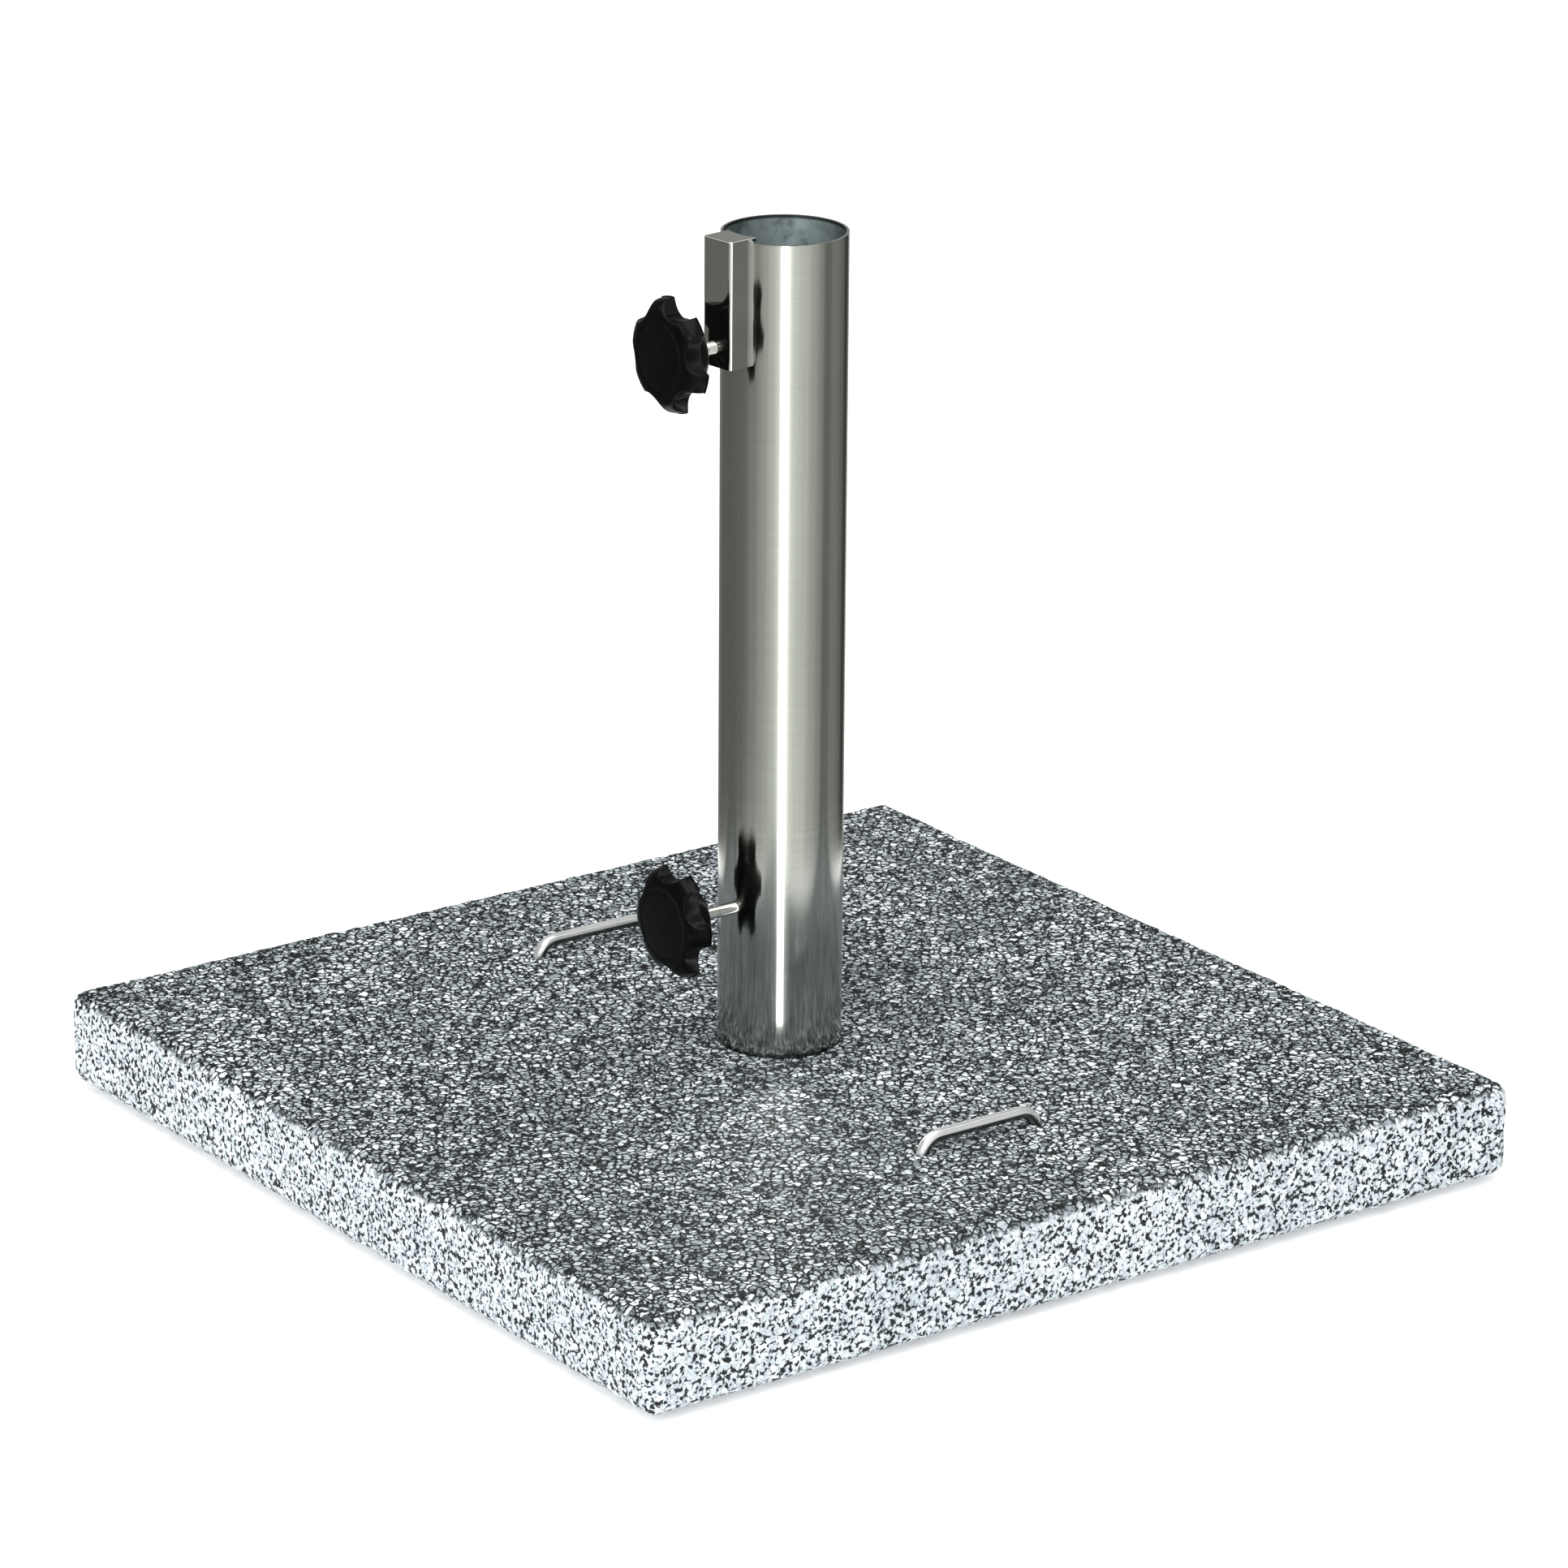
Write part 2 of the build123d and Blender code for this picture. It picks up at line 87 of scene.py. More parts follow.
class Tree:
    """A material with a short way to add nodes."""

    def __init__(self, name):
        self.mat = bpy.data.materials.new(name)
        self.mat.use_nodes = True
        self.t = self.mat.node_tree
        self.bsdf = next(n for n in self.t.nodes if n.type == "BSDF_PRINCIPLED")
        self.coord = self.add("ShaderNodeTexCoord")
        self.pos = self.coord.outputs["Object"]

    def add(self, kind, **props):
        n = self.t.nodes.new(kind)
        for k, v in props.items():
            setattr(n, k, v)
        return n

    def wire(self, a, b):
        self.t.links.new(a, b)

    def put(self, node, **values):
        for k, v in values.items():
            s = node.inputs[k.replace("_", " ")]
            if hasattr(v, "is_output"):
                self.wire(v, s)
            else:
                s.default_value = v
        return node

    def mapped(self, scale=(1, 1, 1), turn=(0, 0, 0), shift=(0, 0, 0), vector=None):
        m = self.add("ShaderNodeMapping")
        self.wire(vector or self.pos, m.inputs["Vector"])
        m.inputs["Scale"].default_value = scale
        m.inputs["Rotation"].default_value = turn
        m.inputs["Location"].default_value = shift
        return m.outputs["Vector"]

    def noise(self, scale, detail=2.0, rough=0.5, distort=0.0, vector=None, out="Fac"):
        n = self.add("ShaderNodeTexNoise")
        self.wire(vector or self.pos, n.inputs["Vector"])
        n.inputs["Scale"].default_value = scale
        n.inputs["Detail"].default_value = detail
        n.inputs["Roughness"].default_value = rough
        n.inputs["Distortion"].default_value = distort
        return n.outputs[out]

    def voronoi(self, scale, feature="F1", random=1.0, vector=None, out="Distance"):
        n = self.add("ShaderNodeTexVoronoi", feature=feature)
        self.wire(vector or self.pos, n.inputs["Vector"])
        n.inputs["Scale"].default_value = scale
        n.inputs["Randomness"].default_value = random
        return n.outputs[out]

    def math(self, op, a, b=0.0, c=0.0, clamp=False):
        n = self.add("ShaderNodeMath", operation=op, use_clamp=clamp)
        for i, v in enumerate((a, b, c)):
            if hasattr(v, "is_output"):
                self.wire(v, n.inputs[i])
            else:
                n.inputs[i].default_value = v
        return n.outputs[0]

    def ramp(self, fac, stops, mode="LINEAR"):
        n = self.add("ShaderNodeValToRGB")
        n.color_ramp.interpolation = mode
        els = n.color_ramp.elements
        while len(els) > 1:
            els.remove(els[-1])
        els[0].position = stops[0][0]
        els[0].color = grey(stops[0][1])
        for p, c in stops[1:]:
            els.new(p).color = grey(c)
        self.wire(fac, n.inputs["Fac"])
        return n.outputs["Color"]

    def remap(self, v, a, b, lo=0.0, hi=1.0, smooth=False):
        n = self.add("ShaderNodeMapRange")
        if smooth:
            n.interpolation_type = "SMOOTHSTEP"
        self.wire(v, n.inputs["Value"])
        n.inputs["From Min"].default_value = a
        n.inputs["From Max"].default_value = b
        n.inputs["To Min"].default_value = lo
        n.inputs["To Max"].default_value = hi
        return n.outputs["Result"]

    def mix(self, fac, a, b, blend="MIX"):
        n = self.add("ShaderNodeMix", data_type="RGBA", blend_type=blend)
        for i, v in ((0, fac), (6, a), (7, b)):
            if hasattr(v, "is_output"):
                self.wire(v, n.inputs[i])
            elif i == 0:
                n.inputs[i].default_value = v
            else:
                n.inputs[i].default_value = grey(v)
        return n.outputs[2]

    def bump(self, height, distance, strength=1.0, normal=None):
        n = self.add("ShaderNodeBump")
        n.inputs["Distance"].default_value = distance
        n.inputs["Strength"].default_value = strength
        self.wire(height, n.inputs["Height"])
        if normal is not None:
            self.wire(normal, n.inputs["Normal"])
        return n.outputs["Normal"]

    def surface(self, **values):
        for k, v in values.items():
            s = self.bsdf.inputs[k.replace("_", " ")]
            if hasattr(v, "is_output"):
                self.wire(v, s)
            elif k.endswith("Color") or k == "Base_Color":
                s.default_value = grey(v)
            else:
                s.default_value = v
        return self.mat


def grey(c):
    if isinstance(c, (int, float)):
        return (c, c, c, 1.0)
    return tuple(c) if len(c) == 4 else (c[0], c[1], c[2], 1.0)


def dress(obj, mat):
    obj.data.materials.clear()
    obj.data.materials.append(mat)


# ------------------------------------------------------------------ granite


def granite_material():
    m = Tree("granite_flamed")
    # position warped a little so that crystals aren't straight-edged
    wob = m.noise(210.0, 2.0, 0.5, out="Color")
    off = m.add("ShaderNodeVectorMath", operation="SUBTRACT")
    m.wire(wob, off.inputs[0])
    off.inputs[1].default_value = (0.5, 0.5, 0.5)
    scl = m.add("ShaderNodeVectorMath", operation="SCALE")
    m.wire(off.outputs[0], scl.inputs[0])
    scl.inputs["Scale"].default_value = 0.0055
    add = m.add("ShaderNodeVectorMath", operation="ADD")
    m.wire(m.pos, add.inputs[0])
    m.wire(scl.outputs[0], add.inputs[1])
    warped = add.outputs[0]

    geo = m.add("ShaderNodeNewGeometry")
    sep = m.add("ShaderNodeSeparateXYZ")
    m.wire(geo.outputs["Normal"], sep.inputs[0])
    top = m.remap(sep.outputs["Z"], 0.25, 0.85, smooth=True)

    edge = m.voronoi(255.0, "DISTANCE_TO_EDGE", 1.0, warped)
    cell = m.voronoi(255.0, "F1", 1.0, warped, "Color")
    cell_v = m.add("ShaderNodeSeparateColor")
    m.wire(cell, cell_v.inputs[0])
    crystal = cell_v.outputs[0]
    fine = m.noise(900.0, 2.0, 0.6, vector=warped)
    grains = m.noise(260.0, 2.0, 0.5, 0.8)
    blotch = m.noise(24.0, 3.0, 0.55)
    cloud = m.noise(7.0, 3.0, 0.55)

    # flamed top: pale crystals parted by dark seams and pits
    seam = m.remap(edge, 0.035, 0.165, smooth=True)
    worm = m.remap(grains, 0.36, 0.49, 0.25, 1.0)
    body = m.math("MULTIPLY", seam, m.remap(crystal, 0.0, 1.0, 0.50, 1.08))
    body = m.math("MULTIPLY", body, worm)
    body = m.math("MULTIPLY", body, m.remap(fine, 0.3, 0.7, 0.82, 1.18))
    body = m.math("MULTIPLY", body, m.remap(blotch, 0.3, 0.7, 0.86, 1.14))
    body = m.math("MULTIPLY", body, m.remap(cloud, 0.35, 0.65, 0.92, 1.08))
    top_col = m.ramp(
        body,
        [
            (0.0, (0.002, 0.003, 0.003)),
            (0.12, (0.009, 0.012, 0.013)),
            (0.28, (0.062, 0.075, 0.082)),
            (0.46, (0.190, 0.224, 0.243)),
            (0.70, (0.385, 0.438, 0.466)),
            (1.0, (0.770, 0.815, 0.838)),
        ],
    )

    # sawn and bush-hammered sides: pale ground with dark mica specks
    mica = m.noise(460.0, 2.0, 0.55, 0.4)
    speck = m.ramp(mica, [(0.410, 0.0), (0.440, 0.20), (0.470, 0.86), (0.56, 1.0)])
    ground = m.math("MULTIPLY", speck, m.remap(crystal, 0.0, 1.0, 0.84, 1.12))
    ground = m.math("MULTIPLY", ground, m.remap(seam, 0.0, 1.0, 0.84, 1.0))
    ground = m.math("MULTIPLY", ground, m.remap(fine, 0.3, 0.7, 0.90, 1.10))
    ground = m.math("MULTIPLY", ground, m.remap(cloud, 0.35, 0.65, 0.94, 1.06))
    side_col = m.ramp(
        ground,
        [
            (0.0, (0.003, 0.004, 0.005)),
            (0.22, (0.012, 0.017, 0.020)),
            (0.45, (0.140, 0.170, 0.190)),
            (0.74, (0.450, 0.515, 0.555)),
            (1.0, (0.720, 0.760, 0.785)),
        ],
    )
    # a few larger pale inclusions
    spot = m.voronoi(26.0, "F1", 1.0, warped)
    spot_cell = m.voronoi(26.0, "F1", 1.0, warped, "Color")
    spot_v = m.add("ShaderNodeSeparateColor")
    m.wire(spot_cell, spot_v.inputs[0])
    rare = m.math("GREATER_THAN", spot_v.outputs[1], 0.9)
    pale = m.math("MULTIPLY", m.remap(spot, 0.10, 0.16, 1.0, 0.0), rare)
    side_col = m.mix(m.math("MULTIPLY", pale, 0.6), side_col, (0.62, 0.68, 0.72))

    col = m.mix(top, side_col, top_col)
    rough = m.remap(fine, 0.25, 0.75, 0.52, 0.9)
    h = m.math("ADD", m.math("MULTIPLY", seam, 0.55), m.math("MULTIPLY", worm, 0.45))
    h = m.math("ADD", h, m.math("MULTIPLY", fine, 0.35))
    h = m.math("MULTIPLY", h, m.remap(top, 0.0, 1.0, 0.35, 1.0))
    return m.surface(
        Base_Color=col,
        Roughness=rough,
        Specular_IOR_Level=0.42,
        Normal=m.bump(h, 0.0011, 0.9),
    )


def rounded_slab(lo, hi, r, step):
    """Closed box of quads with rounded edges; returns vertices, faces and unit normals."""
    half = [(hi[i] - lo[i]) / 2 for i in range(3)]
    mid = [(hi[i] + lo[i]) / 2 for i in range(3)]

    def axis_stops(h):
        inner = h - r
        n = max(2, round(2 * inner / step))
        flat = [-inner + 2 * inner * i / n for i in range(n + 1)]
        rim = [r * math.tan(math.radians(45 * k / 4)) for k in (1, 2, 3, 4)]
        return [-inner - t for t in reversed(rim)] + flat + [inner + t for t in rim]

    stops = [axis_stops(h) for h in half]
    index, verts, norms, faces = {}, [], [], []

    def vert(i, j, k):
        key = (i, j, k)
        if key in index:
            return index[key]
        p = Vector((stops[0][i], stops[1][j], stops[2][k]))
        q = Vector(
            (
                max(-half[a] + r, min(half[a] - r, p[a]))
                for a in range(3)
            )
        )
        d = (p - q).normalized()
        index[key] = len(verts)
        verts.append(q + d * r + Vector(mid))
        norms.append(d)
        return index[key]

    nx, ny, nz = (len(s) - 1 for s in stops)
    for k, flip in ((0, True), (nz, False)):
        for i in range(nx):
            for j in range(ny):
                f = [vert(i, j, k), vert(i + 1, j, k), vert(i + 1, j + 1, k), vert(i, j + 1, k)]
                faces.append(f[::-1] if flip else f)
    for j, flip in ((0, False), (ny, True)):
        for i in range(nx):
            for k in range(nz):
                f = [vert(i, j, k), vert(i + 1, j, k), vert(i + 1, j, k + 1), vert(i, j, k + 1)]
                faces.append(f[::-1] if flip else f)
    for i, flip in ((0, True), (nx, False)):
        for j in range(ny):
            for k in range(nz):
                f = [vert(i, j, k), vert(i, j + 1, k), vert(i, j + 1, k + 1), vert(i, j, k + 1)]
                faces.append(f[::-1] if flip else f)
    return verts, faces, norms


def granite_piece():
    lo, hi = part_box("granite_slab")
    skin = 0.0006
    lo2 = lo + Vector((skin, skin, 0.0003))
    hi2 = hi - Vector((skin, skin, skin * 0.5))
    verts, faces, norms = rounded_slab(lo2, hi2, 0.0068, 0.0028)
    made = []
    for p, d in zip(verts, norms):
        up = max(0.0, d.z)
        down = max(0.0, -d.z)
        side = 1.0 - up - down if up + down < 1 else 0.0
        coarse = noise.fractal(p * 150.0, 1.0, 2.1, 3)
        ridge = 0.5 - abs(noise.noise(p * 240.0 + Vector((7.1, 3.3, 1.9)))) * 1.6
        wave = noise.noise(p * 18.0 + Vector((1.7, 9.2, 4.4)))
        amp = 0.00042 * up + 0.00026 * max(side, 0.0) + 0.00008 * down
        h = amp * (coarse * 0.9 + ridge * 0.9)
        h += 0.00035 * wave * (1.0 - down) * (0.35 if up > 0.95 else 1.0)
        # rounded edges carry small broken flakes
        on_edge = 1.0 - max(abs(d.x), abs(d.y), abs(d.z))
        if on_edge > 0.02:
            chip = noise.noise(p * 70.0 + Vector((2.2, 5.1, 8.7)))
            h -= 0.0012 * max(0.0, chip) * min(1.0, on_edge * 4.0)
        h = min(h, skin * 0.9)
        # flat round the middle, where the pipe sits
        radial = math.hypot(p.x, p.y)
        if d.z > 0.9 and radial < 0.036:
            h = min(h, -0.0001) * max(0.0, min(1.0, (radial - 0.030) / 0.006))
        made.append(p + d * h)
    slab = mesh_object("granite_block", made, faces)

    # the bolt's recess and hole, and the handles' stepped leg holes
    cutter_bm = bmesh.new()

    def drill(x, y, r, z0, z1, seg):
        bmesh.ops.create_cone(
            cutter_bm, cap_ends=True, segments=seg, radius1=r, radius2=r, depth=z1 - z0,
            matrix=Matrix.Translation((x, y, (z0 + z1) / 2)),
        )

    def stepped(x, y, r_wide, z_step, r_narrow, seg):
        ring = [(r_wide, -0.01), (r_wide, z_step), (r_narrow, z_step), (r_narrow, hi.z + 0.01)]
        rows = []
        for r, z in ring:
            rows.append(
                [
                    cutter_bm.verts.new(
                        (
                            x + r * math.cos(2 * math.pi * s / seg),
                            y + r * math.sin(2 * math.pi * s / seg),
                            z,
                        )
                    )
                    for s in range(seg)
                ]
            )
        cutter_bm.faces.new(rows[0][::-1])
        cutter_bm.faces.new(rows[-1])
        for a, b in zip(rows, rows[1:]):
            for s in range(seg):
                t = (s + 1) % seg
                cutter_bm.faces.new((a[s], a[t], b[t], b[s]))

    stepped(0.0, 0.0, 0.035, 0.0185, 0.0065, 64)
    for sx in (-1, 1):
        for sy in (-1, 1):
            stepped(sx * 0.033, sy * 0.1585, 0.010, 0.038, 0.0039, 32)
    bmesh.ops.recalc_face_normals(cutter_bm, faces=cutter_bm.faces)
    cut_me = bpy.data.meshes.new("slab_cutter")
    cutter_bm.to_mesh(cut_me)
    cutter_bm.free()
    cutter = link(bpy.data.objects.new("slab_cutter", cut_me))
    mod = slab.modifiers.new("holes", "BOOLEAN")
    mod.operation = "DIFFERENCE"
    mod.solver = "EXACT"
    mod.object = cutter
    apply_modifiers(slab)
    bpy.data.objects.remove(cutter)
    sharp_by_angle(slab, 50)
    dress(slab, granite_material())
    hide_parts("granite_slab")
    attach(slab, "base")
    return slab


# ------------------------------------------------------------------ metals


def tube_material():
    m = Tree("standpipe_satin_steel")
    xyz = m.add("ShaderNodeSeparateXYZ")
    m.wire(m.pos, xyz.inputs[0])
    flat = m.add("ShaderNodeCombineXYZ")
    m.wire(xyz.outputs["X"], flat.inputs["X"])
    m.wire(xyz.outputs["Y"], flat.inputs["Y"])
    radius = m.add("ShaderNodeVectorMath", operation="LENGTH")
    m.wire(flat.outputs[0], radius.inputs[0])
    inside = m.remap(radius.outputs["Value"], 0.0286, 0.0289, 1.0, 0.0)

    # long drawn streaks up the tube, and the faint rings left by polishing belts
    streak = m.noise(1.0, 3.0, 0.6, vector=m.mapped((520.0, 520.0, 2.2)))
    broad = m.noise(1.0, 2.0, 0.5, vector=m.mapped((85.0, 85.0, 1.2)))
    rings = m.noise(1.0, 2.0, 0.55, vector=m.mapped((14.0, 14.0, 900.0)))
    cloud = m.noise(11.0, 3.0, 0.55)
    tone = m.math(
        "ADD",
        m.remap(streak, 0.3, 0.7, -0.035, 0.035),
        m.remap(broad, 0.3, 0.7, -0.03, 0.03),
    )
    tone = m.math("ADD", tone, m.remap(rings, 0.3, 0.7, -0.012, 0.012))
    tone = m.math("ADD", tone, m.remap(cloud, 0.3, 0.7, -0.02, 0.02))
    val = m.math("ADD", tone, 0.5)
    skin = m.ramp(
        val,
        [(0.40, (0.465, 0.475, 0.440)), (0.5, (0.555, 0.567, 0.530)), (0.60, (0.645, 0.657, 0.620))],
    )
    scale = m.noise(60.0, 4.0, 0.65, 0.1)
    raw = m.ramp(
        scale,
        [(0.30, (0.13, 0.16, 0.165)), (0.45, (0.30, 0.36, 0.365)), (0.7, (0.41, 0.48, 0.485))],
    )
    # painted shade, not a known feature of the steel: a dark line round the mouth's inner edge
    mouth_painted_shade = m.remap(xyz.outputs["Z"], 0.4482, 0.4490, 0.0, 0.9)
    raw = m.mix(mouth_painted_shade, raw, (0.020, 0.026, 0.026))
    # painted reflection, not a known feature of the steel: the lowest part is darkened to stand in for the dark stone
    # it reflects
    low_painted_reflection = m.remap(xyz.outputs["Z"], 0.098, 0.140, 0.42, 0.0, smooth=True)
    skin = m.mix(low_painted_reflection, skin, (0.060, 0.070, 0.066))
    # painted shade, not a known feature of the steel: a dark contact line round the tube's foot
    foot_painted_shade = m.remap(xyz.outputs["Z"], 0.0510, 0.0530, 0.85, 0.0)
    skin = m.mix(foot_painted_shade, skin, (0.020, 0.024, 0.022))
    col = m.mix(inside, skin, raw)
    r_out = m.math("ADD", m.remap(streak, 0.3, 0.7, 0.110, 0.132), m.remap(rings, 0.3, 0.7, -0.010, 0.010))
    r_in = m.remap(scale, 0.3, 0.7, 0.72, 0.58)
    n = m.add("ShaderNodeMix", data_type="FLOAT")
    m.wire(inside, n.inputs[0])
    m.wire(r_out, n.inputs[2])
    m.wire(r_in, n.inputs[3])
    h = m.math("ADD", m.math("MULTIPLY", streak, 0.4), m.math("MULTIPLY", rings, 0.6))
    tan = m.add("ShaderNodeTangent", direction_type="RADIAL", axis="Z")
    m.wire(tan.outputs[0], m.bsdf.inputs["Tangent"])
    return m.surface(
        Base_Color=col,
        Metallic=1.0,
        Roughness=n.outputs[0],
        Anisotropic=0.76,
        Anisotropic_Rotation=0.25,
        Normal=m.bump(h, 0.00002, 0.5),
    )


def polished_material():
    m = Tree("clamp_box_mirror_steel")
    haze = m.noise(35.0, 3.0, 0.6)
    wipe = m.noise(1.0, 3.0, 0.6, vector=m.mapped((60.0, 900.0, 60.0), (0.3, 0.1, 0.5)))
    dent = m.noise(48.0, 1.0, 0.4)
    val = m.math("ADD", m.remap(haze, 0.3, 0.7, 0.42, 0.58), m.remap(wipe, 0.3, 0.7, -0.03, 0.03))
    col = m.ramp(val, [(0.38, (0.60, 0.60, 0.575)), (0.5, (0.68, 0.68, 0.66)), (0.62, (0.74, 0.745, 0.735))])
    return m.surface(
        Base_Color=col,
        Metallic=1.0,
        Roughness=m.math("ADD", m.remap(haze, 0.3, 0.7, 0.020, 0.050), m.remap(wipe, 0.3, 0.7, 0.0, 0.015)),
        Normal=m.bump(dent, 0.00006, 0.4),
    )


def rod_material():
    m = Tree("handle_rod_steel")
    scratch = m.noise(1.0, 3.0, 0.6, vector=m.mapped((40.0, 1500.0, 1500.0)))
    cloud = m.noise(120.0, 3.0, 0.6)
    val = m.math("ADD", m.remap(scratch, 0.3, 0.7, 0.40, 0.60), m.remap(cloud, 0.3, 0.7, -0.06, 0.06))
    col = m.ramp(val, [(0.35, (0.74, 0.75, 0.75)), (0.5, (0.86, 0.87, 0.87)), (0.65, (0.93, 0.94, 0.94))])
    # painted shade, not a known feature of the steel: a dark line along the rod's underside
    geo = m.add("ShaderNodeNewGeometry")
    sep = m.add("ShaderNodeSeparateXYZ")
    m.wire(geo.outputs["Normal"], sep.inputs[0])
    underside_painted_shade = m.remap(sep.outputs["Z"], 0.02, 0.24, 0.95, 0.0, smooth=True)
    col = m.mix(underside_painted_shade, col, (0.012, 0.014, 0.014))
    return m.surface(
        Base_Color=col,
        Metallic=0.70,
        Roughness=m.remap(scratch, 0.3, 0.7, 0.15, 0.22),
        Normal=m.bump(scratch, 0.00003, 0.5),
    )


def zinc_material():
    m = Tree("zinc_plated_steel")
    spangle = m.voronoi(420.0, "F1", 1.0, None, "Color")
    s = m.add("ShaderNodeSeparateColor")
    m.wire(spangle, s.inputs[0])
    cloud = m.noise(140.0, 3.0, 0.6)
    val = m.math("ADD", m.remap(s.outputs[0], 0.0, 1.0, 0.44, 0.56), m.remap(cloud, 0.3, 0.7, -0.07, 0.07))
    col = m.ramp(val, [(0.36, (0.42, 0.44, 0.47)), (0.5, (0.58, 0.60, 0.62)), (0.64, (0.70, 0.715, 0.72))])
    turned = m.noise(1.0, 2.0, 0.5, vector=m.mapped((1600.0, 1600.0, 1600.0)))
    return m.surface(
        Base_Color=col,
        Metallic=1.0,
        Roughness=m.remap(cloud, 0.3, 0.7, 0.20, 0.36),
        Normal=m.bump(turned, 0.00004, 0.4),
    )


def screw_material():
    m = Tree("clamp_screw_bright")
    turned = m.noise(1.0, 2.0, 0.5, vector=m.mapped((1400.0, 60.0, 60.0)))
    cloud = m.noise(160.0, 2.0, 0.6)
    col = m.ramp(
        m.math("ADD", m.remap(turned, 0.3, 0.7, 0.42, 0.58), m.remap(cloud, 0.3, 0.7, -0.05, 0.05)),
        [(0.36, (0.62, 0.61, 0.57)), (0.5, (0.74, 0.735, 0.70)), (0.64, (0.83, 0.83, 0.80))],
    )
    return m.surface(
        Base_Color=col,
        Metallic=1.0,
        Roughness=m.remap(turned, 0.3, 0.7, 0.10, 0.18),
        Normal=m.bump(turned, 0.00003, 0.4),
    )


# ------------------------------------------------------------------ plastics and rubber


def knob_material(name="knob_black_plastic", gloss=0.20):
    m = Tree(name)
    grain = m.noise(1500.0, 2.0, 0.6)
    soft = m.noise(90.0, 3.0, 0.55)
    col = m.ramp(
        m.math("ADD", m.remap(grain, 0.3, 0.7, 0.4, 0.6), m.remap(soft, 0.3, 0.7, -0.1, 0.1)),
        [(0.3, (0.0006, 0.0006, 0.0006)), (0.5, (0.0012, 0.0012, 0.0012)), (0.7, (0.0024, 0.0024, 0.0025))],
    )
    return m.surface(
        Base_Color=col,
        Roughness=m.math("ADD", m.remap(soft, 0.3, 0.7, gloss - 0.03, gloss + 0.05), m.remap(grain, 0.3, 0.7, -0.02, 0.02)),
        Specular_IOR_Level=0.11,
        Normal=m.bump(grain, 0.00002, 0.4),
    )


def nylon_material():
    m = Tree("nylon_natural")
    grain = m.noise(900.0, 2.0, 0.6)
    col = m.ramp(grain, [(0.3, (0.62, 0.60, 0.53)), (0.7, (0.80, 0.78, 0.72))])
    return m.surface(Base_Color=col, Roughness=m.remap(grain, 0.3, 0.7, 0.35, 0.5), Normal=m.bump(grain, 0.00004, 0.4))


def rubber_material():
    m = Tree("pad_rubber_black")
    dust = m.noise(220.0, 4.0, 0.65)
    grain = m.noise(1300.0, 2.0, 0.6)
    col = m.ramp(dust, [(0.35, (0.012, 0.012, 0.012)), (0.6, (0.026, 0.026, 0.025)), (0.8, (0.07, 0.068, 0.062))])
    return m.surface(Base_Color=col, Roughness=m.remap(grain, 0.3, 0.7, 0.7, 0.9), Normal=m.bump(grain, 0.00008, 0.6))


# ------------------------------------------------------------------ star knobs

GRIP_R, DOME_R, FRONT, COVER_R, COVER_SEAT = 0.0276, 0.00945, 0.00975, 0.0165, 0.0083
SCALLOP_R, SCALLOP_AT = 0.0106, 0.0311
HUB_R, HUB_R1, HUB_LEN = 0.0179, 0.0159, 0.00765
SCREW_Y = -0.0036


def soft_min(a, b, k):
    h = max(k - abs(a - b), 0.0) / k
    return min(a, b) - h * h * k * 0.25


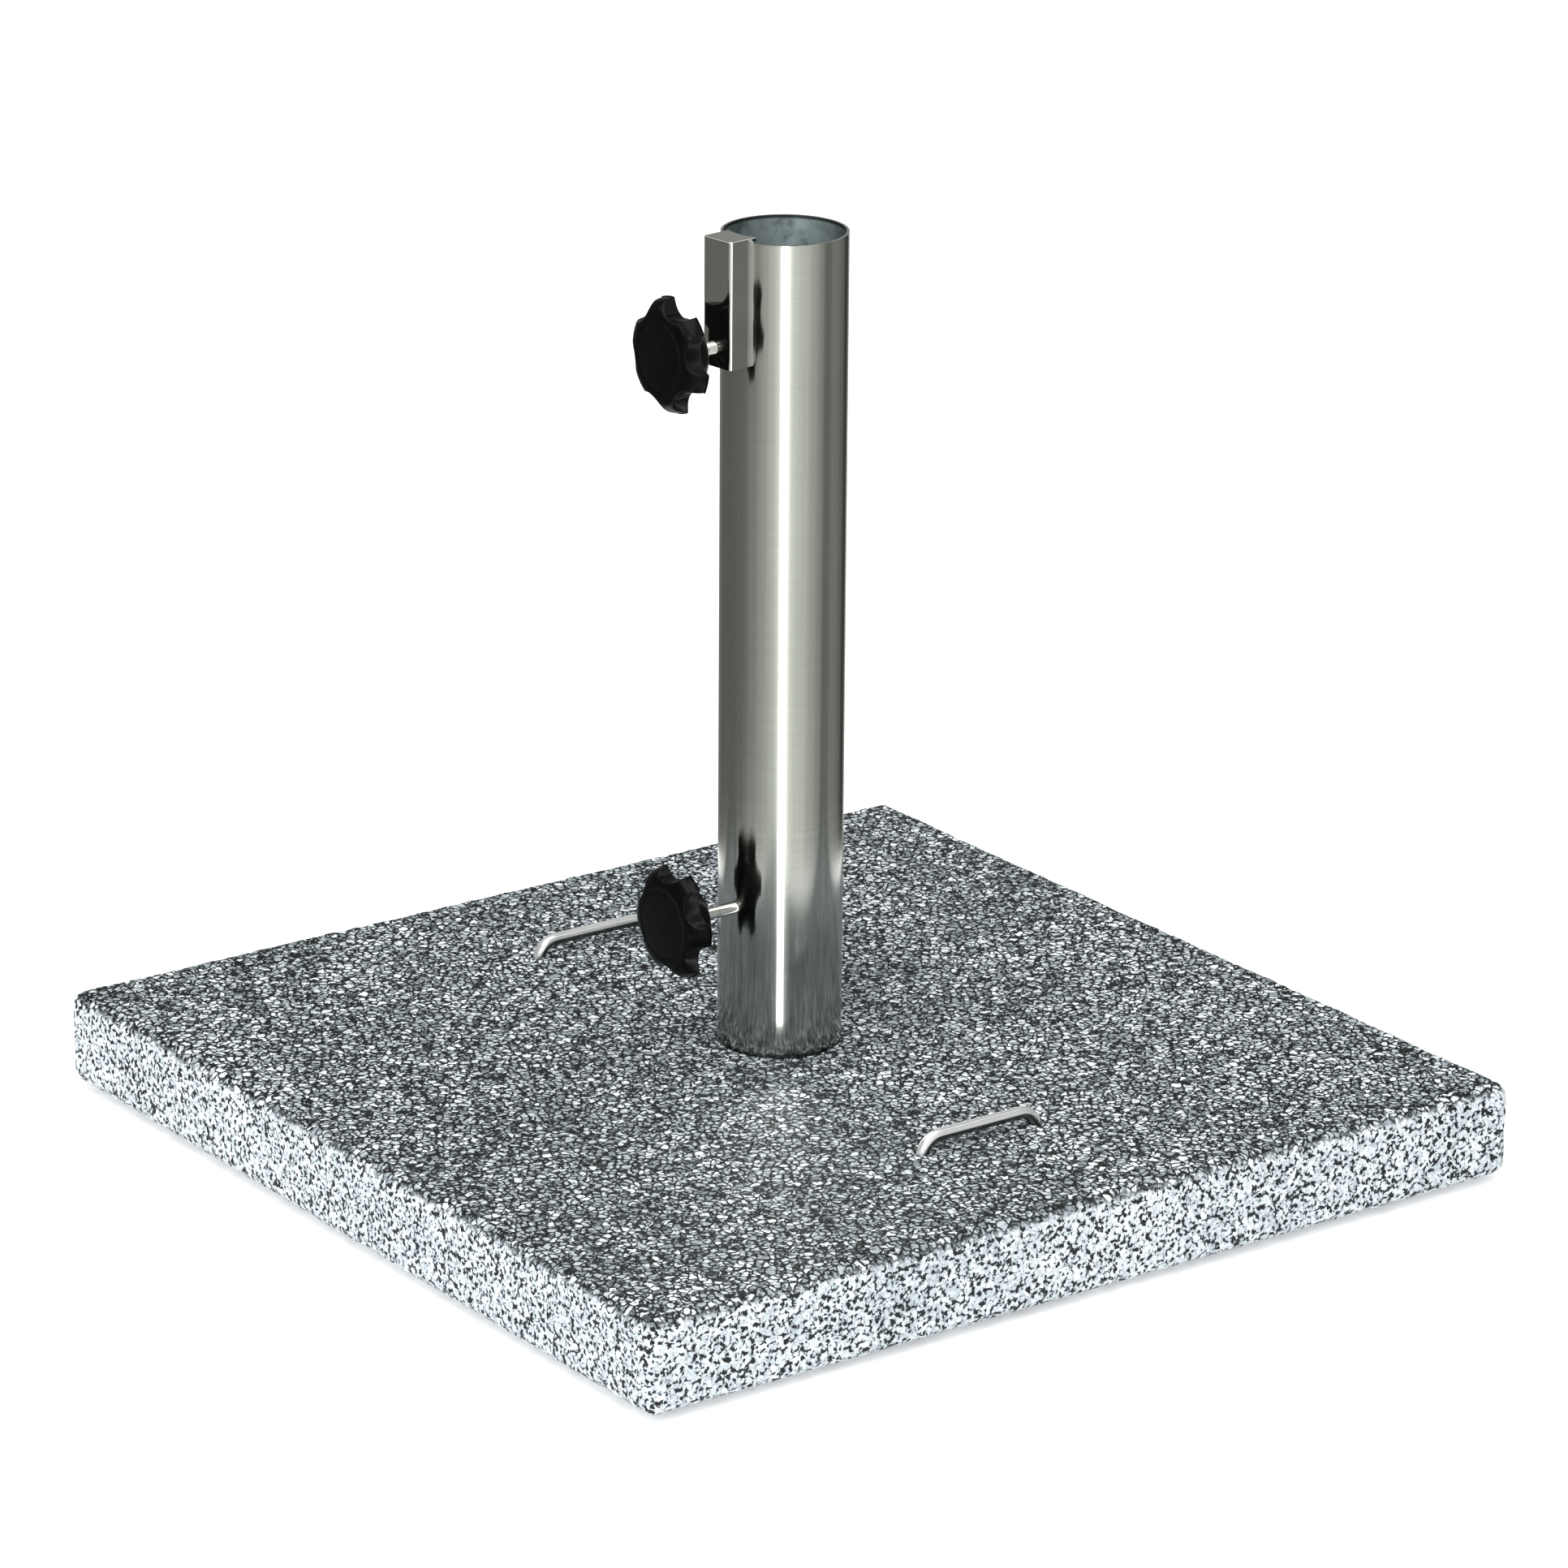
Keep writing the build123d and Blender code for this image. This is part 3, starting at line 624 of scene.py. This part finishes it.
def knob_piece(name, body, node, back, z, turn):
    """Moulded star grip: domed rim with rounded finger scallops, a recessed front seat and a hub."""
    seg = 360

    def star(t):
        """Radius of the lobed outline at an angle, with soft lobe corners."""
        local = (math.degrees(t) - turn) % 60.0
        if local > 30.0:
            local -= 60.0
        a = math.radians(local)
        disc = SCALLOP_R**2 - (SCALLOP_AT * math.sin(a)) ** 2
        if disc <= 0:
            near = abs(SCALLOP_AT * math.sin(abs(a))) - SCALLOP_R
            cut = SCALLOP_AT * math.cos(a) + near * 1.2
            return soft_min(GRIP_R, max(cut, GRIP_R - 0.0004), 0.0016)
        return soft_min(GRIP_R, SCALLOP_AT * math.cos(a) - math.sqrt(disc), 0.0020)

    rows = []  # each row: (T, radius function of the star radius)
    rows.append([(-HUB_LEN, 0.0030)])
    prof = []
    # hub: bore edge, rear face, rounded corner, tapered wall, root fillet
    prof += [(-HUB_LEN, 0.0031), (-HUB_LEN, 0.0072), (-HUB_LEN + 0.0006, 0.0078), (-HUB_LEN + 0.0006, 0.0120),
             (-HUB_LEN, 0.0126), (-HUB_LEN, HUB_R1 - 0.0007), (-HUB_LEN + 0.0002, HUB_R1 - 0.0002),
             (-HUB_LEN + 0.0007, HUB_R1 + 0.0001), (-HUB_LEN * 0.5, (HUB_R + HUB_R1) / 2), (-0.0009, HUB_R - 0.0002),
             (-0.0003, HUB_R + 0.0001), (0.0, HUB_R + 0.0005)]
    lathe = [(t, r, None) for t, r in prof]
    # back face out to the star, with a rounded rear edge
    for f in (0.25, 0.5, 0.75, 0.9):
        lathe.append((0.0, None, f))
    for k in range(0, 6):
        a = math.radians(90 * k / 5)
        lathe.append((0.0009 * (1 - math.cos(a)), None, ("rim", 0.0009 * (1 - math.sin(a)))))
    # rim and dome, up to the flat ring round the cover
    dome = []
    for k in range(1, 5):
        t = 0.0009 + (0.0015 - 0.0009) * k / 4
        dome.append((t, GRIP_R))
    n = 34
    for k in range(1, n + 1):
        a = math.radians(8 + (90 - 8) * k / n)
        dome.append((FRONT - DOME_R * (1 - math.sin(a)) , GRIP_R - DOME_R + DOME_R * math.cos(a)))
    for t, r in dome:
        lathe.append((t, r, "dome"))
    ring = GRIP_R - DOME_R
    lathe += [(FRONT, ring - 0.0006, None), (FRONT, COVER_R + 0.0001, None), (FRONT - 0.00003, COVER_R + 0.00003, None),
              (FRONT - 0.0002, COVER_R, None), (COVER_SEAT, COVER_R, None), (COVER_SEAT, 0.0030, None)]

    verts, faces = [], []
    out = Vector((-1, 0, 0))
    e_up, e_side = Vector((0, 0, 1)), Vector((0, -1, 0))
    outline = [star(2 * math.pi * s / seg) for s in range(seg)]
    for t, r, kind in lathe:
        for s in range(seg):
            th = 2 * math.pi * s / seg
            edge = outline[s]
            if kind is None:
                rr = r
            elif isinstance(kind, float):
                rr = HUB_R + 0.0005 + (edge - 0.0009 - HUB_R - 0.0005) * kind
            elif isinstance(kind, tuple):
                rr = edge - kind[1]
            else:
                rr = soft_min(edge, r, 0.0021) if r < GRIP_R + 1 else edge
            p = out * (back + t) + e_up * (rr * math.cos(th)) + e_side * (rr * math.sin(th))
            p.y += SCREW_Y
            p.z += z
            verts.append(p)
    rows_n = len(lathe)
    for a in range(rows_n - 1):
        for s in range(seg):
            u = (s + 1) % seg
            faces.append((a * seg + s, a * seg + u, (a + 1) * seg + u, (a + 1) * seg + s))
    # the stud's bore closes the shape into one skin
    for s in range(seg):
        u = (s + 1) % seg
        faces.append(((rows_n - 1) * seg + s, (rows_n - 1) * seg + u, u, s))
    knob = mesh_object(name, verts, faces)
    bm = bmesh.new()
    bm.from_mesh(knob.data)
    bmesh.ops.remove_doubles(bm, verts=bm.verts, dist=0.000004)
    bmesh.ops.recalc_face_normals(bm, faces=bm.faces)
    bm.to_mesh(knob.data)
    bm.free()
    sharp_by_angle(knob, 42)
    dress(knob, MAT["knob"])
    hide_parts(node)
    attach(knob, body)
    return knob


def cover_piece(name, body, node, back, z):
    """Snap-in disc that closes the grip's front, nearly flush, with a shallow crown."""
    seg = 128
    edge = COVER_R - 0.00006
    lathe = [(COVER_SEAT + 0.00002, 0.0), (COVER_SEAT + 0.00002, 0.006), (COVER_SEAT + 0.00002, edge - 0.0003),
             (COVER_SEAT + 0.0003, edge), (FRONT - 0.0002, edge), (FRONT - 0.00004, edge - 0.00006)]
    n = 14
    for k in range(n + 1):
        r = (edge - 0.00018) * (1 - k / n)
        lathe.append((FRONT + 0.00055 * (1 - (r / edge) ** 2), r))
    verts, faces, rows = [], [], []
    for t, r in lathe:
        count = 1 if r <= 0 else seg
        row = []
        for i in range(count):
            th = 2 * math.pi * i / seg
            row.append(len(verts))
            verts.append(Vector((-(back + t), SCREW_Y - r * math.sin(th), z + r * math.cos(th))))
        rows.append(row)
    for a, b in zip(rows, rows[1:]):
        for i in range(seg):
            j = (i + 1) % seg
            if len(a) == 1:
                faces.append((a[0], b[j], b[i]))
            elif len(b) == 1:
                faces.append((a[i], a[j], b[0]))
            else:
                faces.append((a[i], a[j], b[j], b[i]))
    disc = mesh_object(name, verts, faces)
    bm = bmesh.new()
    bm.from_mesh(disc.data)
    bmesh.ops.recalc_face_normals(bm, faces=bm.faces)
    bm.to_mesh(disc.data)
    bm.free()
    sharp_by_angle(disc, 50)
    dress(disc, MAT["cover"])
    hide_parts(node)
    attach(disc, body)
    return disc


# ------------------------------------------------------------------ build

MAT = {
    "tube": tube_material(),
    "polished": polished_material(),
    "rod": rod_material(),
    "zinc": zinc_material(),
    "screw": screw_material(),
    "knob": knob_material(),
    "cover": knob_material("knob_cover_black", 0.26),
    "nylon": nylon_material(),
    "rubber": rubber_material(),
}
BY_NODE = {
    "standpipe": "tube",
    "pipe_base_disc": "zinc",
    "clamp_box": "polished",
    "clamp_box_cap": "polished",
    "front_handle": "rod",
    "rear_handle": "rod",
    "upper_clamp_screw": "screw",
    "lower_clamp_screw": "screw",
    "upper_knob_grip": "knob",
    "lower_knob_grip": "knob",
    "upper_knob_cover": "cover",
    "lower_knob_cover": "cover",
    "lower_screw_tip": "nylon",
    "floor_pads": "rubber",
}
granite = granite_piece()
for n, o in NODES.items():
    dress(o, granite.data.materials[0] if n == "granite_slab" else MAT[BY_NODE.get(n, "zinc")])

knob_piece("upper_star_knob", "upper_knob", "upper_knob_grip", 0.0642, 0.4011, 78.0)
knob_piece("lower_star_knob", "lower_knob", "lower_knob_grip", 0.0616, 0.1231, 0.0)
cover_piece("upper_knob_disc", "upper_knob", "upper_knob_cover", 0.0642, 0.4011)
cover_piece("lower_knob_disc", "lower_knob", "lower_knob_cover", 0.0616, 0.1231)

# ------------------------------------------------------------------ studio

YAW, PITCH, ROLL = math.radians(36.02), math.radians(19.02), math.radians(0.435)
fwd = Vector((math.sin(YAW) * math.cos(PITCH), math.cos(YAW) * math.cos(PITCH), -math.sin(PITCH)))
r0 = Vector((math.cos(YAW), -math.sin(YAW), 0.0))
u0 = r0.cross(fwd)
right = r0 * math.cos(ROLL) + u0 * math.sin(ROLL)
up = -r0 * math.sin(ROLL) + u0 * math.cos(ROLL)
cam_data = bpy.data.cameras.new("photo_camera")
cam = link(bpy.data.objects.new("photo_camera", cam_data))
cam_data.sensor_width = 36.0
cam_data.lens = 8455.0 / 1932.0 * 36.0
cam_data.clip_start, cam_data.clip_end = 0.05, 60.0
cam_data.dof.use_dof = False
cam.matrix_world = Matrix(
    (
        (right.x, up.x, -fwd.x, -1.81563),
        (right.y, up.y, -fwd.y, -2.49960),
        (right.z, up.z, -fwd.z, 1.24350),
        (0, 0, 0, 1),
    )
)
SCENE.camera = cam

SCENE.view_settings.view_transform = "Standard"
SCENE.view_settings.look = "None"

world = bpy.data.worlds.new("studio")
SCENE.world = world
world.use_nodes = True
bg = next(n for n in world.node_tree.nodes if n.type == "BACKGROUND")
bg.inputs["Color"].default_value = (1.0, 1.0, 1.0, 1.0)
bg.inputs["Strength"].default_value = 1.0

floor_bm = bmesh.new()
bmesh.ops.create_circle(floor_bm, cap_ends=True, segments=96, radius=9.0)
floor_me = bpy.data.meshes.new("studio_floor")
floor_bm.to_mesh(floor_me)
floor_bm.free()
floor = link(bpy.data.objects.new("studio_floor", floor_me))
fm = Tree("studio_floor_white")
fm.surface(
    Base_Color=(0.84, 0.84, 0.84),
    Roughness=0.85,
    Specular_IOR_Level=0.0,
    Emission_Color=(1.0, 1.0, 1.0),
    Emission_Strength=0.30,
)
dress(floor, fm.mat)


def area(name, where, target, size, size_y, energy, colour=(1, 1, 1)):
    d = bpy.data.lights.new(name, "AREA")
    d.shape = "RECTANGLE"
    d.size, d.size_y = size, size_y
    d.energy = energy
    d.color = colour
    o = link(bpy.data.objects.new(name, d))
    o.location = where
    o.rotation_mode = "QUATERNION"
    o.rotation_quaternion = (Vector(target) - Vector(where)).to_track_quat("-Z", "Y")
    return o


# broad overhead softbox, a soft key from behind the camera, a soft side fill
area("overhead_softbox", (-0.6, -0.5, 2.6), (0, 0, 0.1), 2.4, 2.4, 36.0)
area("front_key", (-3.4, -2.3, 1.9), (0, 0, 0.2), 1.6, 1.6, 54.0)
area("left_fill", (-2.4, 0.6, 1.2), (0, 0, 0.25), 1.6, 1.6, 6.0)


def light_tent():
    """Round tent of soft panels just outside the slab that only polished surfaces see."""
    seg, radius, height = 180, 0.42, 1.3
    front = math.atan2(-2.49960, -1.81563)
    # turn from the camera's side in degrees, positive to its right: panel brightness; the warmth is one colour for all
    # panels
    panels = [
        (-180, 0.30), (-168, 0.30), (-153, 0.20), (-132, 0.15), (-110, 0.155), (-92, 0.165), (-74, 0.20), (-53, 0.32),
        (-35, 0.52), (-17, 0.76), (-7, 0.92), (0, 1.05), (9, 1.04), (18, 0.93), (36, 0.80), (55, 0.54), (68, 0.36),
        (78, 0.19), (86, 0.19), (97, 0.27), (110, 0.25), (126, 0.17), (138, 0.06), (149, 0.06), (157, 0.42), (168, 0.50),
        (180, 0.30),
    ]

    def level(turn):
        for (a, x), (b, y) in zip(panels, panels[1:]):
            if a <= turn <= b:
                f = (turn - a) / (b - a)
                f = f * f * (3 - 2 * f)
                return x + (y - x) * f
        return panels[0][1]

    steps = [i * 0.5 - 180 for i in range(721)]
    zs = [0.0, 0.15, 0.5, 0.9, height]
    verts, faces, values = [], [], []
    for d in steps[:-1]:
        for z in zs:
            tall = 0.42 + 0.58 * min(1.0, max(0.0, (abs(d) - 105.0) / 30.0))
            verts.append(
                (radius * math.cos(front + math.radians(d)), radius * math.sin(front + math.radians(d)), z * tall)
            )
            values.append(level(d))
    n = len(zs)
    count = len(steps) - 1
    for i in range(count):
        k = (i + 1) % count
        for j in range(n - 1):
            faces.append((i * n + j, k * n + j, k * n + j + 1, i * n + j + 1))
    tent = mesh_object("studio_light_tent", verts, faces)
    att = tent.data.attributes.new("panel", "FLOAT", "POINT")
    att.data.foreach_set("value", values)
    mat = bpy.data.materials.new("studio_tent_glow")
    mat.use_nodes = True
    t = mat.node_tree
    t.nodes.clear()
    a = t.nodes.new("ShaderNodeAttribute")
    a.attribute_name = "panel"
    e = t.nodes.new("ShaderNodeEmission")
    e.inputs["Color"].default_value = (0.975, 1.0, 0.935, 1.0)
    o = t.nodes.new("ShaderNodeOutputMaterial")
    t.links.new(a.outputs["Fac"], e.inputs["Strength"])
    t.links.new(e.outputs[0], o.inputs["Surface"])
    dress(tent, mat)
    tent.visible_camera = False
    tent.visible_diffuse = False
    tent.visible_shadow = False
    tent.visible_transmission = False
    tent.visible_volume_scatter = False

    # slim strip card close to the tube, which carries its highlight down to the slab
    aim = Vector((math.cos(front), math.sin(front), 0.0))
    across = Vector((-aim.y, aim.x, 0.0))
    columns = [(-0.0150, 0.0), (-0.0095, 0.10), (-0.0052, 0.45), (-0.0034, 8.5), (0.0044, 8.5), (0.0064, 0.9), (0.0120, 0.22),
               (0.0190, 0.0)]
    heights = (0.0535, 0.15, 0.30, 0.46)
    strip, glows = [], []
    for z in heights:
        for w, v in columns:
            strip.append(aim * 0.066 + across * w + Vector((0, 0, z)))
            glows.append(v)
    nc = len(columns)
    quads = [
        (j * nc + i, j * nc + i + 1, (j + 1) * nc + i + 1, (j + 1) * nc + i)
        for j in range(len(heights) - 1)
        for i in range(nc - 1)
    ]
    card = mesh_object("studio_strip_card", strip, quads)
    card_att = card.data.attributes.new("panel", "FLOAT", "POINT")
    card_att.data.foreach_set("value", glows)
    glow = bpy.data.materials.new("studio_strip_glow")
    glow.use_nodes = True
    g = glow.node_tree
    g.nodes.clear()
    ga = g.nodes.new("ShaderNodeAttribute")
    ga.attribute_name = "panel"
    ge = g.nodes.new("ShaderNodeEmission")
    ge.inputs["Color"].default_value = (1.0, 1.0, 0.98, 1.0)
    gt = g.nodes.new("ShaderNodeBsdfTransparent")
    gs = g.nodes.new("ShaderNodeAddShader")
    go = g.nodes.new("ShaderNodeOutputMaterial")
    g.links.new(ga.outputs["Fac"], ge.inputs["Strength"])
    g.links.new(ge.outputs[0], gs.inputs[0])
    g.links.new(gt.outputs[0], gs.inputs[1])
    g.links.new(gs.outputs[0], go.inputs["Surface"])
    dress(card, glow)
    card.visible_camera = False
    card.visible_diffuse = False
    card.visible_shadow = False
    card.visible_transmission = False
    card.visible_volume_scatter = False


light_tent()
